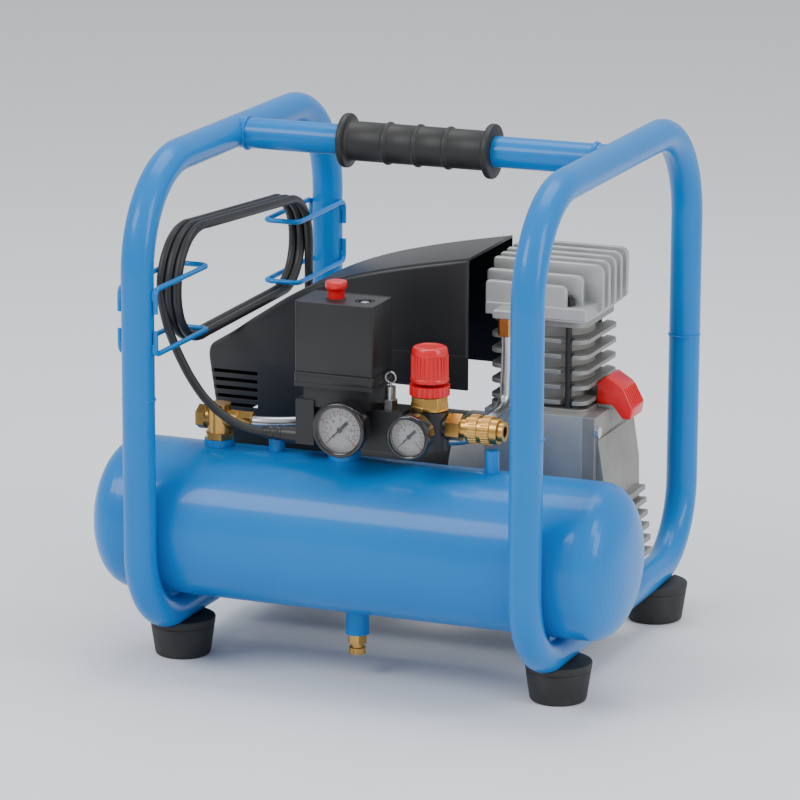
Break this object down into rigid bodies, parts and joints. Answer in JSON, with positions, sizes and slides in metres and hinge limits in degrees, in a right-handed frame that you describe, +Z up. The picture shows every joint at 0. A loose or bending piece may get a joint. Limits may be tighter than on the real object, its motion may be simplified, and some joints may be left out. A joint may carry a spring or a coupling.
{
  "type": "air compressor",
  "caption": "Portable oil-lubricated piston air compressor in a tubular carrying frame with tank, pressure switch, regulator, gauges and quick coupler",
  "frame": {"origin": "centre of the footprint on the floor, midway between the two hoops", "axes": "+X along the tank towards the pump head, +Y from the gauges to the back, +Z up"},
  "size_m": [0.52, 0.474, 0.5005],
  "materials": {
    "frame_blue": "glossy stoved enamel",
    "grip_rubber": "satin moulded rubber",
    "foot_rubber": "matt moulded rubber",
    "zinc_steel": "zinc plated",
    "black_steel": "black enamel and black oxide",
    "cast_aluminium": "as cast, lightly shot blasted",
    "dark_cast": "as cast, duller",
    "steel": "machined",
    "red_plastic": "moulded",
    "copper": "varnished copper wire",
    "black_plastic": "fine textured moulding",
    "brass": "turned",
    "gauge_black": "glossy",
    "dial_white": "printed",
    "lens": "clear",
    "cord_rubber": "satin"
  },
  "bodies": {
    "frame": {"left_upper_hoop": "frame_blue", "left_lower_hoop": "frame_blue", "right_upper_hoop": "frame_blue", "right_lower_hoop": "frame_blue", "handle_tube": "frame_blue", "handle_grip": "grip_rubber", "cord_hooks": "frame_blue", "rubber_feet": "foot_rubber", "foot_screws": "zinc_steel", "tank_shell": "frame_blue", "tank_ends": "frame_blue", "tank_bosses": "frame_blue", "drain_valve_body": "brass", "base_plate": "black_steel", "case_bolts": "zinc_steel", "crankcase": "cast_aluminium", "crankcase_cover": "dark_cast", "cylinder_barrel": "dark_cast", "valve_plate": "steel", "cylinder_head": "cast_aluminium", "head_studs": "black_steel", "main_bearings": "steel", "filter_cover": "red_plastic", "filter_bracket": "zinc_steel", "motor_stator": "black_steel", "motor_windings": "copper", "motor_end_bell": "cast_aluminium", "motor_shroud": "black_plastic", "check_valve_body": "brass", "discharge_tube": "zinc_steel", "tube_nuts": "brass", "manifold": "black_plastic", "switch_base": "black_plastic", "switch_cover": "black_plastic", "relief_valve_body": "zinc_steel", "tank_gauge_case": "gauge_black", "line_gauge_case": "gauge_black", "gauge_dials": "dial_white", "gauge_lenses": "lens", "regulator_body": "black_plastic", "coupler_body": "brass", "cord_gland": "black_plastic", "cord_lead": "cord_rubber", "cord_coil": "cord_rubber", "plug": "cord_rubber"},
    "crank": {"crankshaft": "steel", "motor_rotor": "steel", "cooling_fan": "black_plastic"},
    "piston": {"piston": "cast_aluminium", "wrist_pin": "steel"},
    "rod": {"connecting_rod": "steel"},
    "switch_knob": {"switch_knob": "red_plastic"},
    "regulator_knob": {"regulator_knob": "red_plastic"},
    "lock_ring": {"lock_ring": "red_plastic"},
    "tank_pointer": {"tank_pointer": "gauge_black"},
    "line_pointer": {"line_pointer": "gauge_black"},
    "coupler_sleeve": {"coupler_sleeve": "brass"},
    "drain_screw": {"drain_screw": "brass"},
    "relief_ring": {"relief_ring": "zinc_steel"},
    "check_valve_disc": {"check_valve_disc": "brass"}
  },
  "joints": [
    {"name": "crank_spin", "type": "hinge", "parent": "frame", "child": "crank", "pos_m": [0, 0.036, 0.16], "axis": [1, 0, 0], "continuous": true},
    {"name": "piston_slide", "type": "slide", "parent": "frame", "child": "piston", "axis": [0, 0, 1], "range_m": [-0.04, 0]},
    {"name": "rod_swing", "type": "hinge", "parent": "piston", "child": "rod", "pos_m": [0.12, 0.036, 0.304], "axis": [1, 0, 0], "range_deg": [-9.5, 9.5]},
    {"name": "switch_knob_push", "type": "slide", "parent": "frame", "child": "switch_knob", "axis": [0, 0, 1], "range_m": [-0.005, 0]},
    {"name": "regulator_knob_turn", "type": "hinge", "parent": "frame", "child": "regulator_knob", "pos_m": [0.062, -0.135, 0.297], "axis": [0, 0, 1], "range_deg": [-900, 900]},
    {"name": "lock_ring_turn", "type": "hinge", "parent": "frame", "child": "lock_ring", "pos_m": [0.062, -0.135, 0.278], "axis": [0, 0, 1], "range_deg": [0, 360]},
    {"name": "tank_pointer_turn", "type": "hinge", "parent": "frame", "child": "tank_pointer", "pos_m": [-0.005, -0.185, 0.246], "axis": [0, 1, 0], "range_deg": [0, 270], "stiffness_Nm_per_rad": 0.0004},
    {"name": "line_pointer_turn", "type": "hinge", "parent": "frame", "child": "line_pointer", "pos_m": [0.062, -0.185, 0.246], "axis": [0, 1, 0], "range_deg": [0, 270], "stiffness_Nm_per_rad": 0.0003},
    {"name": "coupler_sleeve_slide", "type": "slide", "parent": "frame", "child": "coupler_sleeve", "axis": [1, 0, 0], "range_m": [-0.004, 0], "stiffness_N_per_m": 1200, "springref_m": 0.001},
    {"name": "drain_screw_turn", "type": "hinge", "parent": "frame", "child": "drain_screw", "pos_m": [-0.008, -0.135, 0.025], "axis": [0, 0, 1], "range_deg": [0, 720]},
    {"name": "relief_ring_pull", "type": "slide", "parent": "frame", "child": "relief_ring", "axis": [0, 0, 1], "range_m": [0, 0.003], "stiffness_N_per_m": 2000, "springref_m": -0.001},
    {"name": "check_disc_lift", "type": "slide", "parent": "frame", "child": "check_valve_disc", "axis": [1, 0, 0], "range_m": [0, 0.003], "stiffness_N_per_m": 200, "springref_m": -0.0005}
  ]
}
